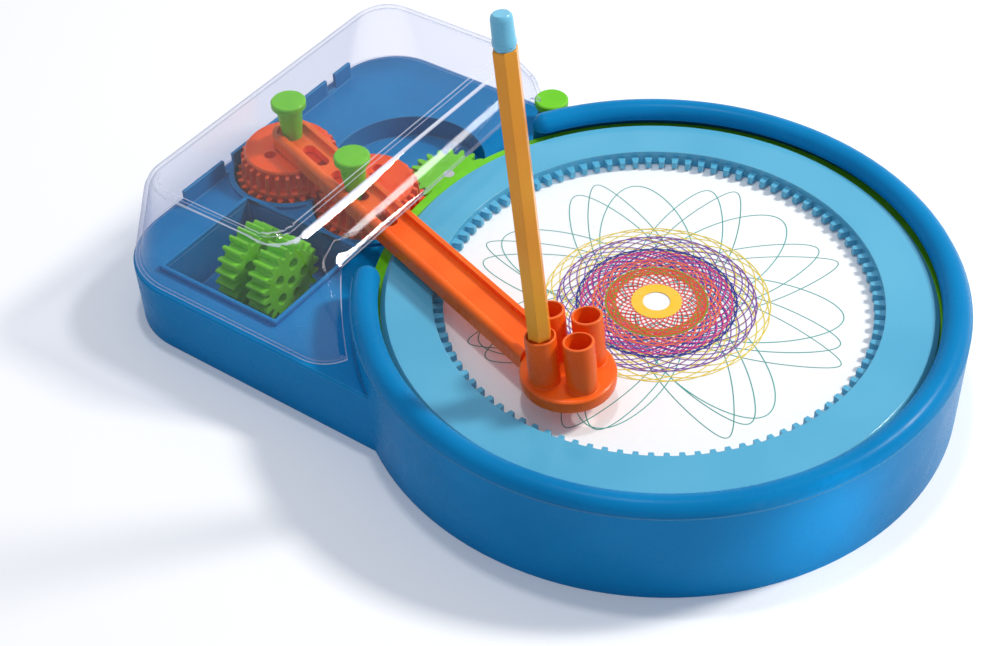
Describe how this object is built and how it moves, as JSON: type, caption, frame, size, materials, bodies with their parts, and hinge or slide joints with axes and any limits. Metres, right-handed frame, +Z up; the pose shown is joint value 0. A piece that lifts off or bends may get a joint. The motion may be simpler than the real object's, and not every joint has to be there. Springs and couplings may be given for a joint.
{
  "type": "spiral drawing machine",
  "caption": "Spiral drawing toy: geared turntable with paper under a toothed ring, a slotted arm with pen sleeves, and a clear lid over its gear housing.",
  "frame": {"origin": "on the turntable's axis, in the plane the base stands on", "axes": "+Z up along the turntable's axis, -X towards the gear housing, the longest way of the base"},
  "size_m": [0.2795, 0.205, 0.1907],
  "materials": {
    "blue_abs": "glossy moulded ABS",
    "green_abs": "satin moulded ABS",
    "red_abs": "satin moulded ABS",
    "ring_clear_blue": "translucent tinted styrene",
    "clear_styrene": "clear moulded styrene",
    "paper": "matt white paper",
    "pen_orange": "glossy pen barrel",
    "pen_blue": "glossy pen end plug",
    "pen_grey": "dark nose",
    "steel": "bright steel",
    "nylon": "natural nylon",
    "battery_sleeve": "plain battery sleeve"
  },
  "bodies": {
    "base": {"base_shell": "blue_abs", "bottom_cover": "blue_abs", "battery_door": "blue_abs", "cover_screws": "steel", "batteries": "battery_sleeve", "battery_contacts": "steel", "gearbox": "nylon", "motor_can": "steel", "turntable_axle": "steel", "gear_axles": "steel", "start_switch": "nylon", "spare_gear_left": "green_abs", "spare_gear_right": "green_abs"},
    "turntable_body": {"turntable": "green_abs", "hub_bush": "nylon", "paper_sheet": "paper", "ring_frame": "ring_clear_blue"},
    "drive_body": {"drive_gear": "green_abs", "drive_shaft": "steel"},
    "front_disc_body": {"front_disc_gear": "red_abs"},
    "rear_disc_body": {"rear_disc_gear": "red_abs"},
    "rear_pin_body": {"rear_pin": "green_abs"},
    "arm_body": {"drawing_arm": "red_abs", "front_pin": "green_abs", "pen_holder": "red_abs"},
    "pen_body": {"pen_barrel": "pen_orange", "pen_end_plug": "pen_blue", "pen_nose": "pen_grey", "pen_tip": "steel"},
    "lid_body": {"lid": "clear_styrene"},
    "button_body": {"start_button": "green_abs"}
  },
  "joints": [
    {"name": "turntable_spin", "type": "hinge", "parent": "base", "child": "turntable_body", "pos_m": [0, 0, 0.0256], "axis": [0, 0, 1], "continuous": true},
    {"name": "drive_gear_spin", "type": "hinge", "parent": "base", "child": "drive_body", "pos_m": [-0.10186, 0.02072, 0.0213], "axis": [0, 0, 1], "continuous": true},
    {"name": "front_disc_spin", "type": "hinge", "parent": "base", "child": "front_disc_body", "pos_m": [-0.11535, -0.00873, 0.0213], "axis": [0, 0, 1], "continuous": true},
    {"name": "rear_disc_spin", "type": "hinge", "parent": "base", "child": "rear_disc_body", "pos_m": [-0.15315, -0.00873, 0.0213], "axis": [0, 0, 1], "continuous": true},
    {"name": "rear_pin_spin", "type": "hinge", "parent": "rear_disc_body", "child": "rear_pin_body", "pos_m": [-0.15246, -0.00617, 0.036], "axis": [0, 0, 1], "continuous": true},
    {"name": "arm_swing", "type": "hinge", "parent": "rear_pin_body", "child": "arm_body", "pos_m": [-0.15246, -0.00617, 0.0363], "axis": [0, 0, 1], "range_deg": [0, 37.6]},
    {"name": "pen_lift", "type": "slide", "parent": "arm_body", "child": "pen_body", "axis": [-0.1242, 0.0401, 0.9914], "range_m": [0, 0.08]},
    {"name": "lid_lift", "type": "slide", "parent": "base", "child": "lid_body", "axis": [0, 0, 1], "range_m": [0, 0.07]},
    {"name": "start_press", "type": "slide", "parent": "base", "child": "button_body", "axis": [0, 0, -1], "range_m": [0, 0.0025], "stiffness_N_per_m": 300, "springref_m": -0.001}
  ],
  "couplings": [
    {"joint": "drive_gear_spin", "follows": "turntable_spin", "ratio": -6.7},
    {"joint": "front_disc_spin", "follows": "turntable_spin", "ratio": 4.7857},
    {"joint": "rear_disc_spin", "follows": "turntable_spin", "ratio": -4.7857},
    {"joint": "rear_pin_spin", "follows": "turntable_spin", "ratio": 4.7857}
  ]
}
